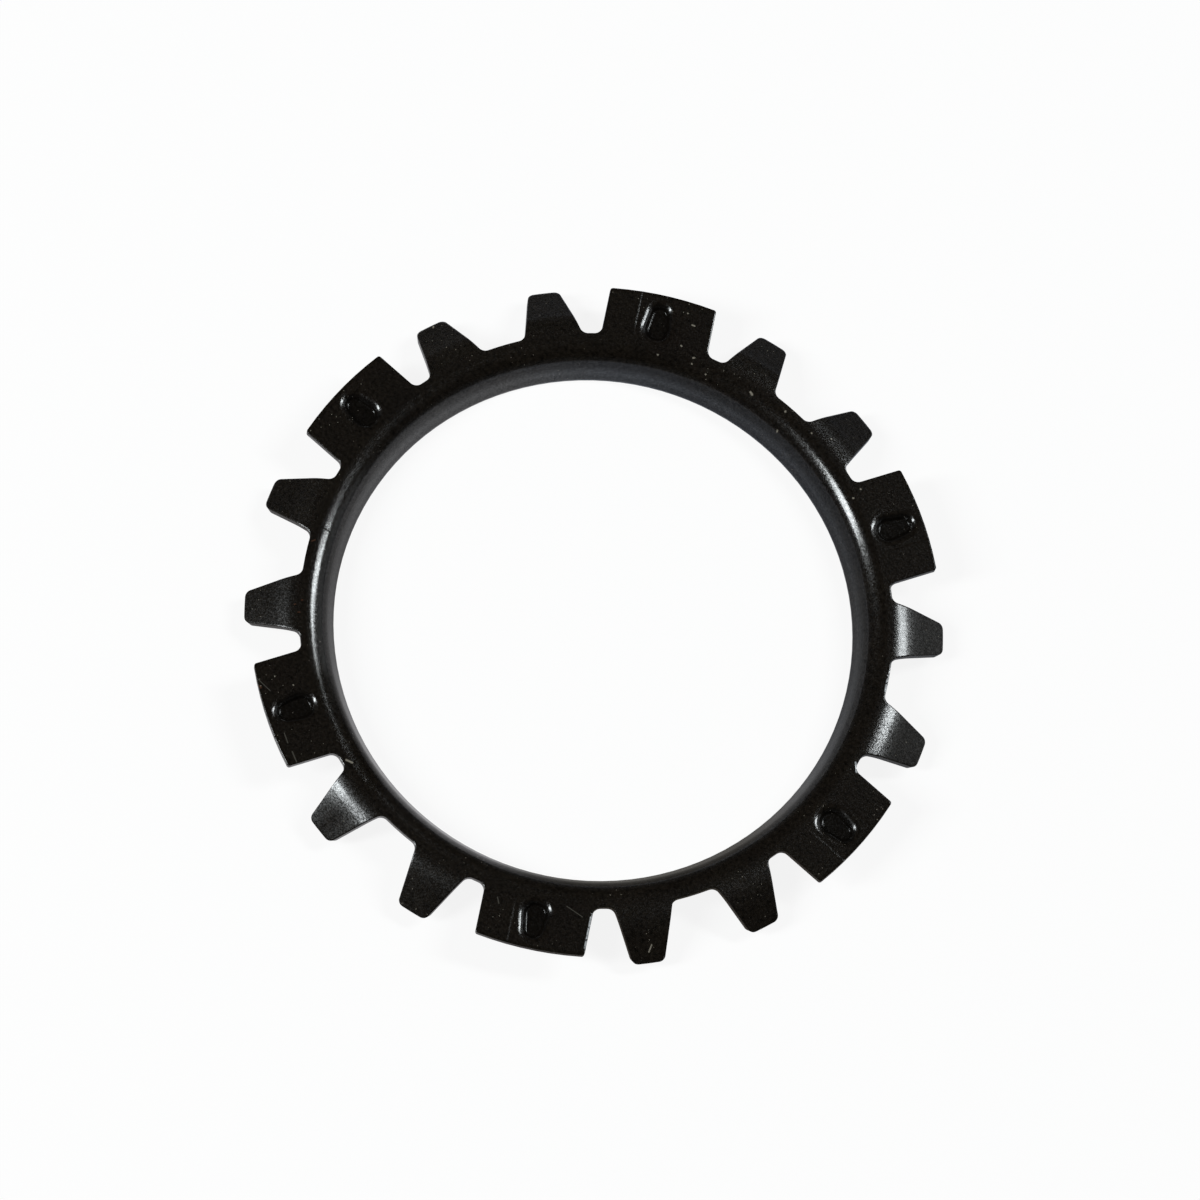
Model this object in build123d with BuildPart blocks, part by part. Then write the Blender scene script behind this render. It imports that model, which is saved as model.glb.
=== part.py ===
"""Toothed lock washer, pressed as one piece from spring steel sheet.

A flat ring has a short collar rolled down around its bore. Its rim carries six wide flat tabs, each with
one egg-shaped dimple pressed down into it, and twelve narrow fingers, two between each pair of tabs,
that are bent down to bite into the part below. The washer stands on the rim of its collar.

Frame: Z is the axis of the bore, Z = 0 is the rim of the collar and +Z is the side of the flat face.
One tab points along +X and one along -X. Lengths are in millimetres and angles in degrees.
"""

import os
from math import asin, atan2, cos, degrees, hypot, radians, sin, tan

from build123d import *

# Sheet and collar
sheet = 0.7  # thickness of the spring steel
bore_diameter = 45.3  # inside the rim of the collar
washer_height = 3.9  # from the rim of the collar to the flat face
collar_land = 0.4  # height of the straight land inside the rim
collar_draft = 17.5  # slope of the collar's wall away from upright, above the land
collar_bend_inside = 1.3  # radius on the hollow side of the bend between collar and ring
rim_chamfer = 0.1  # on both edges of the rim
ring_flat = 0.54  # flat strip of the ring between the collar's bend and the roots of the teeth

# Pattern of tabs and fingers
tab_count = 6
fingers_per_gap = 2  # bent fingers between one tab and the next
slot_width = 1.68  # clear width between a tab and a finger at their roots
root_fillet = 0.75  # in the corners at the roots

# Tabs
tab_reach = 4.25  # from the root circle to the outer edge of a tab
tab_corner_round = 0.25

# Fingers
finger_tip_width = 2.7
finger_flank_angle = 14.3  # lean of each flank towards the finger's centre line, seen from above
finger_bend_angle = 32.0  # slope of a finger below the flat ring
finger_bend_inside = 2.8  # radius on the hollow side of a finger's bend
finger_length = 3.3  # straight length beyond the bend, along the upper face
finger_corner_round = 0.6

# Dimples
dimple_inset = 0.05  # from the end of the collar's bend to the start of the dimple's shoulder
dimple_edge_distance = 0.85  # from the dimple's narrow end to the outer edge of its tab
dimple_wide_radius = 1.15  # of the end towards the bore
dimple_narrow_radius = 0.95  # of the end towards the outer edge
dimple_depth = 0.6
dimple_wall_angle = 30.0  # slope of the dimple's wall away from upright
dimple_shoulder_round = 0.8  # where the upper face turns down into the dimple
boss_margin = 0.25  # by which the boss under a dimple stands outside the dimple's outline
boss_nose_round = 0.3

# Section of the collar and the ring
bore_radius = bore_diameter / 2
collar_slope = radians(collar_draft)
collar_bend_outside = collar_bend_inside + sheet
bend_centre_height = washer_height - collar_bend_outside
bend_foot_height = bend_centre_height + collar_bend_outside * sin(collar_slope)
bend_foot_radius = bore_radius + (bend_foot_height - collar_land) * tan(collar_slope)
bend_centre_radius = bend_foot_radius + collar_bend_outside * cos(collar_slope)
rim_outer_radius = bore_radius - collar_land * tan(collar_slope) + sheet / cos(collar_slope)
root_radius = bend_centre_radius + ring_flat
tab_radius = root_radius + tab_reach

# Section of a finger
finger_bend_outside = finger_bend_inside + sheet
finger_bend_centre = (root_radius, washer_height - finger_bend_outside)
finger_slope = radians(finger_bend_angle)
finger_tip_radius = (
    root_radius + finger_bend_outside * sin(finger_slope) + finger_length * cos(finger_slope)
)

# Shares of the root circle
pitch = 360 / (tab_count * (fingers_per_gap + 1))
flank_run = (finger_tip_radius - root_radius) * tan(radians(finger_flank_angle))
finger_root_width = finger_tip_width + 2 * flank_run
finger_half_angle = degrees(asin(finger_root_width / 2 / root_radius))
slot_angle = 2 * degrees(asin(slot_width / 2 / root_radius))
tab_half_angle = pitch - finger_half_angle - slot_angle
tab_width = 2 * root_radius * sin(radians(tab_half_angle))
tab_sector = 2 * tab_half_angle + slot_angle
finger_sector = 2 * finger_half_angle + slot_angle

# Stock beyond an outline, cut off again when the outline is cut
spare = 2.0
# Slack when a corner or an edge is looked for by its place
near = 0.001


def upright_plane(angle):
    """The plane through the washer's axis whose X direction points outwards at an angle from +X."""
    return Plane.XZ.rotated((0, 0, angle))


def join_root(outline):
    """A tooth's outline, on +X, together with the root circle, with a fillet at each side of its root."""
    with BuildSketch() as joined:
        add(outline)
        Circle(root_radius)
        corners = joined.vertices().filter_by(lambda v: abs(v.center().length - root_radius) < near)
        fillet(corners, root_fillet)
    return joined.sketch


def egg_outline(margin):
    """The outline of the dimple on +X, widened by a margin: an arc at each end and two tangent lines."""
    shoulder_reach = dimple_shoulder_round * tan(radians(90 - dimple_wall_angle) / 2)
    wide_centre = bend_centre_radius + dimple_inset + shoulder_reach + dimple_wide_radius
    narrow_centre = tab_radius - dimple_edge_distance - dimple_narrow_radius
    lean = degrees(asin((dimple_wide_radius - dimple_narrow_radius) / (narrow_centre - wide_centre)))
    with BuildSketch() as egg:
        with BuildLine():
            wide = CenterArc((wide_centre, 0), dimple_wide_radius + margin, 90 - lean, 180 + 2 * lean)
            narrow = CenterArc((narrow_centre, 0), dimple_narrow_radius + margin, lean - 90, 180 - 2 * lean)
            Line(wide @ 0, narrow @ 1)
            Line(wide @ 1, narrow @ 0)
        make_face()
    return egg.sketch


def sunken_egg(height, margin):
    """The outline of the dimple, widened by a margin, sunk from a height with sloping walls."""
    with BuildPart() as sunken:
        with BuildSketch(Plane.XY.offset(height)):
            add(egg_outline(margin))
        extrude(amount=-dimple_depth)
        walls = sunken.faces().filter_by(Axis.Z, reverse=True)
        draft(walls, Plane.XY.offset(height), -dimple_wall_angle)
    return sunken.part


def dimple_edges(washer, height):
    """The closed edges of all dimples, or of their bosses, at a height."""
    level = washer.edges().filter_by_position(Axis.Z, height - near, height + near)
    return level.filter_by(lambda edge: in_dimple(edge.center()))


def in_dimple(point):
    """Whether a point of an edge lies within the width and length that a boss takes up on its tab."""
    tab_pitch = 360 / tab_count
    turn = (degrees(atan2(point.Y, point.X)) + tab_pitch / 2) % tab_pitch - tab_pitch / 2
    reach = hypot(point.X, point.Y)
    along = reach * cos(radians(turn))
    across = abs(reach * sin(radians(turn)))
    widest = dimple_wide_radius + boss_margin
    return bend_centre_radius + near < along < tab_radius - near and across < widest


# Collar and flat ring, as one revolved section
with BuildPart() as ring:
    with BuildSketch(Plane.XZ) as ring_section:
        with BuildLine():
            land = Line((bore_radius, 0), (bore_radius, collar_land))
            Line(land @ 1, (bend_foot_radius, bend_foot_height))
            bend_centre = (bend_centre_radius, bend_centre_height)
            bend_turn = 90 - collar_draft
            CenterArc(bend_centre, collar_bend_outside, 90, bend_turn)
            upper_flat = Line((bend_centre_radius, washer_height), (root_radius, washer_height))
            Line(upper_flat @ 1, (root_radius, washer_height - sheet))
            Line((root_radius, washer_height - sheet), (bend_centre_radius, washer_height - sheet))
            hollow = CenterArc(bend_centre, collar_bend_inside, 90, bend_turn)
            Line(hollow @ 1, (rim_outer_radius, 0))
            Line((rim_outer_radius, 0), land @ 0)
        make_face()
        chamfer(ring_section.vertices().group_by(Axis.Y)[0], rim_chamfer)
    revolve(axis=Axis.Z)

# The tab along +X
with BuildSketch() as tab_outline:
    Rectangle(tab_radius + spare, tab_width, align=(Align.MIN, Align.CENTER))
    Circle(tab_radius, mode=Mode.INTERSECT)
    fillet(tab_outline.vertices().group_by(Axis.X)[-1], tab_corner_round)

with BuildPart() as tab:
    with BuildSketch(upright_plane(-tab_sector / 2)):
        with Locations((root_radius, washer_height)):
            Rectangle(tab_reach + spare, sheet, align=(Align.MIN, Align.MAX))
    revolve(axis=Axis.Z, revolution_arc=tab_sector)
    extrude(join_root(tab_outline.sketch), amount=washer_height + spare, mode=Mode.INTERSECT)

# The finger along +X
with BuildSketch() as finger_outline:
    with BuildLine():
        spare_run = spare * tan(radians(finger_flank_angle))
        Polyline(
            (root_radius - spare, finger_root_width / 2 + spare_run),
            (finger_tip_radius + spare, finger_tip_width / 2 - spare_run),
            (finger_tip_radius + spare, spare_run - finger_tip_width / 2),
            (root_radius - spare, -finger_root_width / 2 - spare_run),
            close=True,
        )
    make_face()

with BuildPart() as finger:
    with BuildSketch(upright_plane(-finger_sector / 2)):
        with BuildLine():
            bend = CenterArc(finger_bend_centre, finger_bend_outside, 90, -finger_bend_angle)
            slope = PolarLine(bend @ 1, finger_length, -finger_bend_angle)
            tip = PolarLine(slope @ 1, sheet, -90 - finger_bend_angle)
            PolarLine(tip @ 1, finger_length, 180 - finger_bend_angle)
            hollow = CenterArc(finger_bend_centre, finger_bend_inside, 90, -finger_bend_angle)
            Line(hollow @ 0, bend @ 0)
        make_face()
    revolve(axis=Axis.Z, revolution_arc=finger_sector)
    extrude(join_root(finger_outline.sketch), amount=washer_height + spare, mode=Mode.INTERSECT)
    tip_face = finger.faces().sort_by(Axis.X)[-1]
    fillet(tip_face.edges().filter_by(GeomType.CIRCLE, reverse=True), finger_corner_round)

# The dimple along +X, and the boss that it raises on the lower face
dimple = sunken_egg(washer_height, 0)
boss = sunken_egg(washer_height - sheet, boss_margin)

with BuildPart() as lock_washer:
    add(ring.part)
    with PolarLocations(0, tab_count):
        add(tab.part)
    for place in range(1, fingers_per_gap + 1):
        with PolarLocations(0, tab_count, start_angle=place * pitch):
            add(finger.part)
    with PolarLocations(0, tab_count):
        add(boss)
    with PolarLocations(0, tab_count):
        add(dimple, mode=Mode.SUBTRACT)
    fillet(dimple_edges(lock_washer, washer_height), dimple_shoulder_round)
    fillet(dimple_edges(lock_washer, washer_height - sheet - dimple_depth), boss_nose_round)

lock_washer.part.label = "lock_washer"
os.makedirs("parts", exist_ok=True)
export_step(lock_washer.part, "parts/lock_washer.step")
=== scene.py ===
"""Toothed lock washer of blackened spring steel, lying on its collar on a pale floor.

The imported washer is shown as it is. This script gives it the finish of black oxide on pressed sheet,
with its rounded edges, punch marks, dust and scratches, and sets the floor, the lights and the camera.
Lengths are in metres unless a name or a comment says otherwise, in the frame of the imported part.
"""

from itertools import pairwise
from math import cos, pi, radians, sin

import bpy
import numpy as np
from mathutils import Matrix, Vector

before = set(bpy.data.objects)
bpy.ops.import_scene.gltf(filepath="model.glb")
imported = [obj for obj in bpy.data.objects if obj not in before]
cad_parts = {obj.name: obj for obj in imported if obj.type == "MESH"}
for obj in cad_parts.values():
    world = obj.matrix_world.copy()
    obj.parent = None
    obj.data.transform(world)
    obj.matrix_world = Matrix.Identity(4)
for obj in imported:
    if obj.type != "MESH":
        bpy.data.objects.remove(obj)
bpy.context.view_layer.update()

MM = 0.001

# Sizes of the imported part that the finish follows
FLAT_HEIGHT = 3.9 * MM  # of the flat face above the rim of the collar
ROOT_RADIUS = 25.76 * MM  # where tabs and fingers leave the ring
TAB_RADIUS = 30.01 * MM  # of the outer ends of the tabs
TAB_SIDE = 4.9 * MM  # from a tab's middle line to just beyond its side, in the slot
TAB_PITCH = radians(60)
DIMPLE_MOUTH = 1.6 * MM  # half the width of a dimple where it leaves the flat face

# Patterns of the finish: how wide one cell of each is, in millimetres
CLOUDS_MM = 4.0  # how the oxide's colour drifts
MOTTLE_MM = 0.3
PITTING_MM = 0.25  # of the painted edge highlights
GRAIN_MM = 0.13  # the real grain is a few hundredths wide, and is drawn as coarse as it needs to show
DUST_SPACING_MM = 0.45
DUST_RADIUS_MM = 0.065  # of the largest specks of dust

# How strongly the patterns show
MOTTLE_DEPTH = (0.3, 1.9)  # times the base colour, in the darkest and the palest mottle
ROUGHNESS = (0.1, 0.26)  # in the valleys and on the tops of the grain
FINGER_ROUGHNESS = 0.09  # what a bent finger adds to that
PITTING_LEVELS = (0.38, 0.5)  # of the noise, where a painted edge highlight is still black and where it is bright
DUST_LEVELS = (0.4, 0.7)  # of the clouds, where dust begins and where its specks are largest
DUST_TOWARDS_ENDS = 0.2  # what the ends of the tabs add to the level of the clouds

# Relief of the finish
GRAIN_HEIGHT_MM = 0.004
NICK_DEPTH_MM = 0.05
SEAT_DEPTH_MM = 0.02  # of the seat that the punch of a dimple leaves round it
SEAT_SIDE = (2.02 * MM, 1.88 * MM)  # from a tab's middle line: where the seat ends, and where it is full
SEAT_START = (25.4 * MM, 27.0 * MM)  # outwards along a tab: where the seat begins, and where it is full
EDGE_ROUND = 0.2 * MM  # radius to which the edges are worn

# Levels of sheen, each after its place in millimetres. Up the collar it rises to where the punch
# burnished the wall most, falls towards the top of the wall and comes back over the bend. Outwards along
# a finger it is a change from 1, stronger on the bend than on the straight face.
COLLAR_SHEEN = ((0.9, 1.1), (1.4, 1.5), (2.3, 0.5), (3.2, 1.0))
COLLAR_SHEEN_END = (24.6 * MM, 25.0 * MM)  # between these radii it passes into the sheen of the flat ring
FINGER_SHEEN = ((27.6, 0.25), (28.4, -0.2))

# Marks on the upper face, in millimetres: the two ends of each and its width
PALE_FLECKS = (
    ((-7.42, -24.26), (-6.88, -24.08), 0.24),
    ((-3.62, 24.46), (-3.36, 24.39), 0.26),
    ((-0.2, 25.2), (-0.18, 25.16), 0.26),
    ((0.33, 23.62), (0.37, 23.58), 0.22),
    ((-9.3, 23.44), (-9.36, 23.36), 0.24),
    ((-11.42, 25.6), (-11.2, 25.68), 0.2),
    ((-28.34, 10.64), (-28.26, 10.5), 0.2),
    ((22.46, -18.4), (22.66, -18.94), 0.18),
    ((8.25, -24.5), (8.78, -24.74), 0.16),
    ((2.78, 25.25), (2.82, 25.25), 0.2),
    ((4.38, 26.05), (4.42, 26.05), 0.18),
    ((9.28, 24.3), (9.32, 24.32), 0.2),
    ((9.33, 23.23), (9.37, 23.27), 0.22),
    ((-10.88, 23.49), (-10.82, 23.49), 0.22),
    ((-9.12, 22.9), (-9.08, 22.9), 0.18),
    ((-7.62, 23.05), (-7.58, 23.05), 0.18),
    ((-11.87, 21.5), (-11.83, 21.5), 0.2),
    ((-12.42, 26.15), (-12.38, 26.15), 0.18),
    ((-15.2, -22.4), (-15.16, -22.4), 0.16),
    ((-16.9, -22.9), (-16.84, -22.92), 0.12),
)
SCRATCHES = (
    ((-12.9, -26.08), (-12.1, -26.52), 0.14),
    ((-11.3, -26.84), (-10.42, -27.26), 0.16),
    ((-17.85, -24.06), (-16.3, -24.12), 0.12),
    ((15.0, -21.1), (16.6, -20.9), 0.12),
    ((10.1, -24.5), (10.55, -24.84), 0.14),
)
RUST_SPECKS = (
    ((-22.64, -11.78), (-22.5, -11.5), 0.16),
    ((-23.2, -11.66), (-23.14, -11.62), 0.16),
    ((-19.74, -16.3), (-19.68, -16.24), 0.18),
    ((-19.24, -17.3), (-19.12, -17.2), 0.16),
    ((-19.94, -17.0), (-19.88, -16.9), 0.16),
    ((-17.34, -24.5), (-17.1, -24.44), 0.3),
)
# The nick across the bend of the collar: sunk as relief, and painted dark as shade along it
NICKS = (((-22.9, -10.3), (-22.1, -10.02), 0.12),)
# Patches left duller: a stretch of the collar's bend and the face of one finger
DULL_PATCHES = (
    ((-13.4, -20.2), (-4.6, -24.0), 3.4),
    ((-4.97, -28.2), (-5.24, -29.8), 5.0),
)
# Patches rubbed brighter: the bends of two fingers
RUBBED_PATCHES = (
    ((25.54, 7.6), (24.45, 10.6), 2.6),
    ((-6.31, -26.56), (-3.15, -27.11), 3.0),
)
# Painted highlights along three edges: pale grey where the edges catch the light
EDGE_HIGHLIGHTS = (
    ((17.03, -20.21), (18.58, -22.87), 0.22),
    ((25.0, 5.3), (25.61, 4.71), 0.2),
    ((22.76, 11.9), (21.68, 13.76), 0.24),
)

# How the light on the board changes round the bore: the middle of each stretch in degrees from +X, the
# spread to each side that has the full change, the spread where it ends, and the gains of red, green
# and blue
BOARD_LIGHT = (
    (40, 15, 45, (0.71, 0.75, 0.79)),
    (100, 15, 50, (0.88, 1.0, 1.16)),
    (158, 15, 48, (1.76, 1.8, 1.82)),
    (264, 10, 34, (1.9, 1.9, 1.9)),
    (326, 18, 38, (0.30, 0.27, 0.22)),
)
BOARD_GLOW = 0.88  # share of the board's look that its own light gives, and the lamps give the rest
FLOOR_REACH = 3.0  # from the middle to each side

# How much of its grey the room shows
HORIZON_GLOW = 0.3
OVERHEAD_GLOW = 0.04
OVERHEAD_FROM = 0.4  # the sine of 24 degrees, from which the room is as dark as overhead

LAMP_WHITE = "#f7fdff"
LAMP_DISTANCE = 0.7  # from the middle of the flat face

# The camera's picture is square, and these place the flat face in it
PICTURE = 1200  # pixels along a side
VIEW_TURN = radians(-66.56)  # from +X to the side the camera stands on
VIEW_RISE = radians(73.19)  # above the floor
VIEW_ROLL = radians(18.58)
VIEW_DISTANCE = 520.8 * MM  # from the middle of the flat face
PIXELS_PER_MM = 11.584
AXIS_PIXEL = (597.84, 616.19)  # where the middle of the flat face lies
SENSOR = 36.0  # its width in millimetres


def linear(hex_colour):
    """An sRGB colour such as "#1c1713" as linear RGBA: each channel goes through the sRGB curve."""
    channels = np.array([int(hex_colour[i : i + 2], 16) for i in (1, 3, 5)]) / 255
    low = channels / 12.92
    high = ((channels + 0.055) / 1.055) ** 2.4
    return (*np.where(channels <= 0.04045, low, high).tolist(), 1.0)


def per(size_mm):
    """The scale at which one cell of a pattern on Object coordinates is this many millimetres wide."""
    return 1 / (size_mm * MM)


def add(tree, kind, inputs=(), **settings):
    """Adds a node and returns its outputs. Settings are the node's own attributes. Inputs go to its
    sockets, in their order or by name, and each is a value or the output that feeds the socket."""
    made = tree.nodes.new("ShaderNode" + kind)
    for name, value in settings.items():
        setattr(made, name, value)
    named_inputs = inputs if isinstance(inputs, dict) else dict(enumerate(inputs))
    for socket, given in named_inputs.items():
        if isinstance(given, bpy.types.NodeSocket):
            tree.links.new(given, made.inputs[socket])
        else:
            made.inputs[socket].default_value = given
    return made.outputs


def direction_of(turn):
    """The level direction this many degrees round from +X."""
    return Vector((cos(radians(turn)), sin(radians(turn)), 0))


def new_material(name):
    """An empty node material and its tree."""
    made = bpy.data.materials.new(name)
    made.use_nodes = True
    made.node_tree.nodes.clear()
    return made, made.node_tree


def zone(tree, *ramps):
    """How much a point lies in a zone: the product of ramps, each a value, the level at which it counts
    nothing and the level at which it counts in full."""
    inside = None
    for value, at_nothing, at_all in ramps:
        ramp = add(tree, "MapRange", (value, at_nothing, at_all, 0, 1))[0]
        inside = ramp if inside is None else add(tree, "Math", (inside, ramp), operation="MULTIPLY")[0]
    return inside


def profile(tree, place, points):
    """A level that goes in straight lines from point to point, each a place in millimetres and a level:
    the first stretch plus the change along each of the others."""
    level = None
    for (start, at_start), (end, at_end) in pairwise(points):
        base = at_start if level is None else 0
        stretch = (place, start * MM, end * MM, base, base + at_end - at_start)
        change = add(tree, "MapRange", stretch)[0]
        level = change if level is None else add(tree, "Math", (level, change), operation="ADD")[0]
    return level


def marked(tree, flat_place, on_top, marks):
    """How much a point of the upper face lies on one of the marks: 1 on the line between a mark's two
    ends, falling to 0 half its width away. The nearest point of the line is the first end plus the run
    times the dot product of run and offset, over the square of the run, kept between 0 and 1."""
    covered = None
    for first, last, width in marks:
        start = Vector((*first, 0)) * MM
        run = Vector((*last, 0)) * MM - start
        offset = add(tree, "VectorMath", (flat_place, start), operation="SUBTRACT")[0]
        along = (offset, run / run.length_squared)
        share = add(tree, "VectorMath", along, operation="DOT_PRODUCT")["Value"]
        kept = add(tree, "Clamp", (share,))[0]
        foot = add(tree, "VectorMath", {0: run, "Scale": kept}, operation="SCALE")[0]
        away = add(tree, "VectorMath", (offset, foot), operation="DISTANCE")["Value"]
        near = zone(tree, (away, width / 2 * MM, 0))
        covered = near if covered is None else add(tree, "Math", (covered, near), operation="MAXIMUM")[0]
    return add(tree, "Math", (covered, on_top), operation="MULTIPLY")[0]


def specks(tree, place, broad_noise):
    """Round specks of dust: 1 at the feature points of a Voronoi pattern, falling to 0 a radius away,
    where the radius grows with a broad noise as DUST_LEVELS says."""
    points = add(tree, "TexVoronoi", {"Vector": place, "Scale": per(DUST_SPACING_MM)})
    growing = (broad_noise, *DUST_LEVELS, 0, DUST_RADIUS_MM / DUST_SPACING_MM)
    radius = add(tree, "MapRange", growing)[0]
    fading = (points["Distance"], 0, radius, 1, 0)
    return add(tree, "MapRange", fading, interpolation_type="SMOOTHSTEP")[0]


def blackened_spring_steel():
    """Black oxide on pressed spring steel, wiped with oil. The eye sees the oxide and the oil, not the
    steel, so the surface isn't metallic. It is brownish black and mottled, and its sheen breaks up into
    fine grain, softer on the bent fingers. The floors of the dimples and the ends of the
    tabs are dull, the collar is burnished where it was drawn over the punch, and the cut faces and the rim
    are browner. The walls of the dimples are darkened with painted shade. There are rubbed and dull
    patches, scratches, a nick with painted shade along it, dust and specks of rust. Edges are worn round
    and catch the light, and three carry painted highlights in pale grey."""
    material, tree = new_material("blackened_spring_steel")
    coordinates = add(tree, "TexCoord")
    place = coordinates["Object"]
    axes = add(tree, "SeparateXYZ", (place,))
    rise = axes["Z"]
    flat_place = add(tree, "VectorMath", (place, (1, 1, 0)), operation="MULTIPLY")[0]
    reach = add(tree, "VectorMath", (flat_place,), operation="LENGTH")["Value"]
    facing = add(tree, "SeparateXYZ", (coordinates["Normal"],))["Z"]
    upright = add(tree, "Math", (facing,), operation="ABSOLUTE")[0]

    # Place on the nearest tab: its angle folded into one tab's share, then the way out and the way across
    angle = add(tree, "Math", (axes["Y"], axes["X"]), operation="ARCTAN2")[0]
    turn = add(tree, "Math", (angle, TAB_PITCH / 2, -TAB_PITCH / 2), operation="WRAP")[0]
    sine = add(tree, "Math", (turn,), operation="SINE")[0]
    cosine = add(tree, "Math", (turn,), operation="COSINE")[0]
    sideways = add(tree, "Math", (sine, reach), operation="MULTIPLY")[0]
    across = add(tree, "Math", (sideways,), operation="ABSOLUTE")[0]
    outwards = add(tree, "Math", (cosine, reach), operation="MULTIPLY")[0]

    # Zones, each 1 inside and 0 outside, with borders that fade
    upwards = (facing, 0.0, 0.2)
    beside_tabs = (across, TAB_SIDE, TAB_SIDE + 0.1 * MM)
    within_tabs = (across, TAB_SIDE, TAB_SIDE - 0.2 * MM)
    beyond_roots = (reach, ROOT_RADIUS - 0.4 * MM, ROOT_RADIUS + 1.0 * MM)
    about_dimples = (
        (across, DIMPLE_MOUTH, DIMPLE_MOUTH - 0.3 * MM),
        (reach, ROOT_RADIUS, ROOT_RADIUS + 0.2 * MM),
    )
    on_top = zone(tree, upwards)
    on_fingers = zone(tree, beyond_roots, beside_tabs)
    # painted shade: where the walls of the dimples are darkened in colour
    painted_dimple_shade = zone(tree, *about_dimples, (rise, FLAT_HEIGHT - 0.05 * MM, FLAT_HEIGHT - 0.15 * MM))
    dimple_floors = zone(tree, *about_dimples, (rise, FLAT_HEIGHT - 0.2 * MM, FLAT_HEIGHT - 0.5 * MM))
    tab_ends = zone(tree, (reach, TAB_RADIUS - 0.35 * MM, TAB_RADIUS - 0.2 * MM), within_tabs)
    cut_faces = zone(tree, (upright, 0.5, 0.3), (reach, ROOT_RADIUS - 0.2 * MM, ROOT_RADIUS - 0.1 * MM))
    rim = zone(tree, (rise, 0.25 * MM, 0.1 * MM))
    seats = zone(tree, (across, *SEAT_SIDE), (outwards, *SEAT_START), upwards)

    # Marks, of which the painted edge highlights are broken up by pitting noise
    nicks_painted_dark, rust, scratches, flecks, dull, rubbed, edge_highlight_lines = [
        marked(tree, flat_place, on_top, marks)
        for marks in (NICKS, RUST_SPECKS, SCRATCHES, PALE_FLECKS, DULL_PATCHES, RUBBED_PATCHES, EDGE_HIGHLIGHTS)
    ]
    pitting = add(tree, "TexNoise", {"Vector": place, "Scale": per(PITTING_MM), "Detail": 1.0})["Fac"]
    painted_edge_highlights = zone(tree, (edge_highlight_lines, 0.0, 0.5), (pitting, *PITTING_LEVELS))

    # Colour: brownish black, in clouds and in a fine mottle, then painted shade in the dimple walls and
    # along the nick, painted highlights on three edges, and what lies on it, with more dust towards the
    # ends of the tabs
    clouds = add(tree, "TexNoise", {"Vector": place, "Scale": per(CLOUDS_MM), "Detail": 2.0})["Fac"]
    mottling = {"Vector": place, "Scale": per(MOTTLE_MM), "Detail": 3.0, "Roughness": 0.7}
    mottle = add(tree, "TexNoise", mottling)["Fac"]
    blacks = {"Factor": clouds, "A": linear("#0c0907"), "B": linear("#15110c")}
    black = add(tree, "Mix", blacks, data_type="RGBA")["Result"]
    depth = add(tree, "MapRange", (mottle, 0.3, 0.7, *MOTTLE_DEPTH))[0]
    colour = add(tree, "VectorMath", {0: black, "Scale": depth}, operation="SCALE")[0]
    settling = (reach, ROOT_RADIUS + 0.74 * MM, TAB_RADIUS, 0, DUST_TOWARDS_ENDS)
    towards_ends = add(tree, "MapRange", settling)[0]
    dusty = add(tree, "Math", (clouds, towards_ends), operation="ADD")[0]
    dust = specks(tree, place, dusty)
    for cover, strength, laid_on in (
        # painted shade: the walls of the dimples darkened to near black
        (painted_dimple_shade, 0.6, "#070605"),
        (cut_faces, 0.6, "#2b221c"),
        (rim, 0.6, "#5c4a39"),
        # painted shade along the nick
        (nicks_painted_dark, 0.8, "#050404"),
        (rust, 0.5, "#5a3a2a"),
        (scratches, 0.35, "#6e6a62"),
        (flecks, 0.6, "#a8a091"),
        (dust, 0.6, "#a8a091"),
        # painted highlights: pale grey along three edges
        (painted_edge_highlights, 0.9, "#a3a5a6"),
    ):
        share = add(tree, "Math", (cover, strength), operation="MULTIPLY")[0]
        layers = {"Factor": share, "A": colour, "B": linear(laid_on)}
        colour = add(tree, "Mix", layers, data_type="RGBA")["Result"]

    # Sheen: the collar's and the fingers', then a factor from each pattern, zone and mark
    graining = {"Vector": place, "Scale": per(GRAIN_MM), "Detail": 2.0, "Roughness": 0.6}
    grain = add(tree, "TexNoise", graining)["Fac"]
    off_collar = add(tree, "MapRange", (reach, *COLLAR_SHEEN_END, 0, FLAT_HEIGHT))[0]
    height_on_collar = add(tree, "Math", (rise, off_collar), operation="ADD")[0]
    collar_sheen = profile(tree, height_on_collar, COLLAR_SHEEN)
    finger_change = profile(tree, reach, FINGER_SHEEN)
    finger_sheen = add(tree, "Math", (on_fingers, finger_change, 1.0), operation="MULTIPLY_ADD")[0]
    sheen = add(tree, "Math", (collar_sheen, finger_sheen), operation="MULTIPLY")[0]
    for value, low, high, at_low, at_high in (
        (grain, 0.35, 0.65, 0.25, 0.75),
        (mottle, 0.3, 0.7, 0.7, 1.3),
        (nicks_painted_dark, 0, 1, 1, 0.2),
        (dimple_floors, 0, 1, 1, 0.6),
        (tab_ends, 0, 1, 1, 0.45),
        (dull, 0, 1, 1, 0.2),
        (rubbed, 0, 1, 1, 2.6),
    ):
        factor = add(tree, "MapRange", (value, low, high, at_low, at_high))[0]
        sheen = add(tree, "Math", (sheen, factor), operation="MULTIPLY")[0]
    grained = add(tree, "MapRange", (grain, 0.3, 0.7, *ROUGHNESS))[0]
    roughness = add(tree, "Math", (on_fingers, FINGER_ROUGHNESS, grained), operation="MULTIPLY_ADD")[0]

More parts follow.
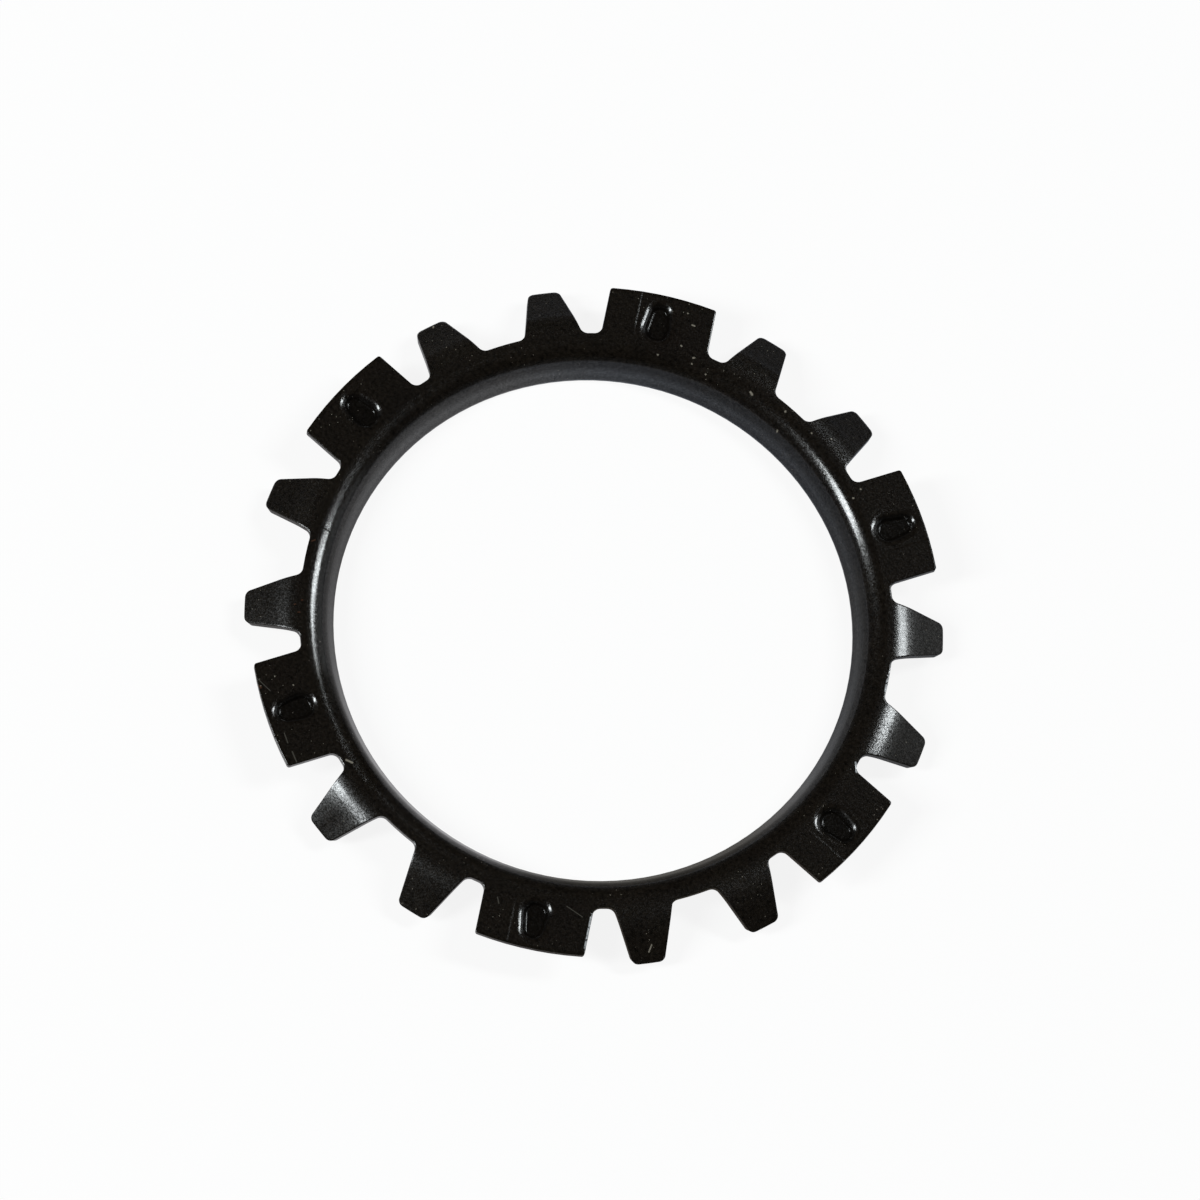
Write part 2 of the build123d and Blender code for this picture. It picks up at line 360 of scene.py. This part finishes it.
    # Relief: the grain of the etched sheet, with the seats of the punches and the nick sunk into it
    height = add(tree, "Math", (grain, GRAIN_HEIGHT_MM), operation="MULTIPLY")[0]
    for cover, depth_mm in ((seats, SEAT_DEPTH_MM), (nicks_painted_dark, NICK_DEPTH_MM)):
        height = add(tree, "Math", (cover, -depth_mm, height), operation="MULTIPLY_ADD")[0]
    rounded = add(tree, "Bevel", {"Radius": EDGE_ROUND}, samples=8)[0]
    relief = {"Distance": MM, "Strength": 1.0, "Height": height, "Normal": rounded}
    uneven = add(tree, "Bump", relief)[0]
    gloss = {"IOR": 1.5, "Metallic": 0.0, "Roughness": roughness, "Specular IOR Level": sheen}
    shader = add(tree, "BsdfPrincipled", {"Base Color": colour, "Normal": uneven, **gloss})[0]
    add(tree, "OutputMaterial", {"Surface": shader})
    return material


def pale_floor():
    """Matt white board, a smooth painted card. A camera sees it white, and gloss sees it dimmer, as a
    board whose light falls off away from the lamps, and unevenly lit round the bore, as BOARD_LIGHT says.
    Part of its look is left to the lamps, so that the washer's shadow stays."""
    material, tree = new_material("matt_white_board")
    ray = add(tree, "LightPath")
    seen = add(tree, "Math", (ray["Is Camera Ray"], ray["Is Glossy Ray"]), operation="MAXIMUM")[0]
    shown = add(tree, "Math", (seen, ray["Is Transmission Ray"]), operation="MAXIMUM")[0]
    share = add(tree, "Math", (shown, BOARD_GLOW), operation="MULTIPLY")[0]
    place = add(tree, "TexCoord")["Object"]
    heading = add(tree, "VectorMath", (place,), operation="NORMALIZE")[0]
    mirrored = add(tree, "CombineXYZ", linear("#9e9d9f")[:3])[0]
    for turn, core, edge, gain in BOARD_LIGHT:
        sides = (heading, direction_of(turn))
        closeness = add(tree, "VectorMath", sides, operation="DOT_PRODUCT")["Value"]
        near = zone(tree, (closeness, cos(radians(edge)), cos(radians(core))))
        changed = add(tree, "VectorMath", (mirrored, gain), operation="MULTIPLY")[0]
        lights = {"Factor": near, "A": mirrored, "B": changed}
        mirrored = add(tree, "Mix", lights, data_type="RGBA")["Result"]
    whites = {"Factor": ray["Is Camera Ray"], "A": mirrored, "B": linear("#ffffff")}
    glow = add(tree, "Mix", whites, data_type="RGBA")["Result"]
    board = add(tree, "BsdfDiffuse", {"Color": linear("#f5f2f0")})[0]
    white = add(tree, "Emission", {"Color": glow, "Strength": 1.0})[0]
    surface = add(tree, "MixShader", (share, board, white))[0]
    add(tree, "OutputMaterial", {"Surface": surface})
    return material


def studio_room():
    """A dim room round the board, brightest at the horizon and darkest from 24 degrees above it. A camera
    sees it as white, and gloss sees it dim, because black oxide mirrors a studio as dark."""
    room = bpy.data.worlds.new("studio_room")
    room.use_nodes = True
    tree = room.node_tree
    tree.nodes.clear()
    heading = add(tree, "TexCoord")["Generated"]
    rise = add(tree, "SeparateXYZ", (heading,))["Z"]
    glow = add(tree, "MapRange", (rise, 0, OVERHEAD_FROM, HORIZON_GLOW, OVERHEAD_GLOW))[0]
    dim = add(tree, "Background", {"Color": linear("#8f959c"), "Strength": glow})[0]
    white = add(tree, "Background", {"Color": linear("#ffffff"), "Strength": 1.0})[0]
    shown = add(tree, "LightPath")["Is Camera Ray"]
    surface = add(tree, "MixShader", (shown, dim, white))[0]
    add(tree, "OutputWorld", {"Surface": surface})
    return room


def sheet_of(name, corners):
    """A flat four-cornered surface from its corners in order round the edge."""
    mesh = bpy.data.meshes.new(name)
    mesh.from_pydata(corners, [], [(0, 1, 2, 3)])
    made = bpy.data.objects.new(name, mesh)
    bpy.context.scene.collection.objects.link(made)
    return made


def view_frame():
    """The camera's right, up and backward directions: the backward one rises by VIEW_RISE towards
    VIEW_TURN, and the other two are turned about it by VIEW_ROLL."""
    back = Vector((cos(VIEW_RISE) * cos(VIEW_TURN), cos(VIEW_RISE) * sin(VIEW_TURN), sin(VIEW_RISE)))
    level = Vector((-sin(VIEW_TURN), cos(VIEW_TURN), 0))
    rising = back.cross(level)
    right = level * cos(VIEW_ROLL) + rising * sin(VIEW_ROLL)
    up = rising * cos(VIEW_ROLL) - level * sin(VIEW_ROLL)
    return right, up, back


def turned(right, up, back):
    """The rotation that turns a lamp's or a camera's own axes to these directions."""
    return Matrix((right, up, back)).transposed().to_4x4()


def softbox(name, turn, rise, lean, width, height, radiance):
    """A rectangular lamp that faces the washer from this many degrees round from +X and above the floor,
    and leans sideways about its own axis. Its power is radiance times pi times area."""
    side = direction_of(turn + 90)
    towards = direction_of(turn) * cos(radians(rise)) + Vector((0, 0, sin(radians(rise))))
    upright = towards.cross(side)
    long_side = upright * cos(radians(lean)) + side * sin(radians(lean))
    lamp = bpy.data.lights.new(name, "AREA")
    lamp.shape = "RECTANGLE"
    lamp.size = width
    lamp.size_y = height
    lamp.energy = radiance * pi * width * height
    lamp.color = linear(LAMP_WHITE)[:3]
    made = bpy.data.objects.new(name, lamp)
    stand = Matrix.Translation(Vector((0, 0, FLAT_HEIGHT)) + towards * LAMP_DISTANCE)
    made.matrix_world = stand @ turned(long_side.cross(towards), long_side, towards)
    bpy.context.scene.collection.objects.link(made)


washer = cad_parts["lock_washer"]
steel = blackened_spring_steel()
for slot in washer.material_slots:
    slot.material = steel

corner_sides = ((-1, -1), (1, -1), (1, 1), (-1, 1))
floor = sheet_of("floor", [(x * FLOOR_REACH, y * FLOOR_REACH, 0) for x, y in corner_sides])
floor.data.materials.append(pale_floor())

softbox("softbox_far", turn=61, rise=49, lean=38, width=0.09, height=0.3, radiance=32)
softbox("softbox_near", turn=-129, rise=42, lean=0, width=0.12, height=0.34, radiance=32)
softbox("card_far", turn=52, rise=15, lean=0, width=0.6, height=0.36, radiance=0.45)

bpy.context.scene.world = studio_room()
bpy.context.scene.view_settings.view_transform = "Standard"

camera_data = bpy.data.cameras.new("camera")
camera_data.sensor_width = SENSOR
camera_data.lens = PIXELS_PER_MM * VIEW_DISTANCE / MM * SENSOR / PICTURE
camera_data.shift_x = (PICTURE / 2 - AXIS_PIXEL[0]) / PICTURE
camera_data.shift_y = (AXIS_PIXEL[1] - PICTURE / 2) / PICTURE
camera_data.clip_start = 10 * MM
camera_data.clip_end = 10.0
camera = bpy.data.objects.new("camera", camera_data)
right, up, back = view_frame()
stand = Matrix.Translation(Vector((0, 0, FLAT_HEIGHT)) + back * VIEW_DISTANCE)
camera.matrix_world = stand @ turned(right, up, back)
bpy.context.scene.collection.objects.link(camera)
bpy.context.scene.camera = camera
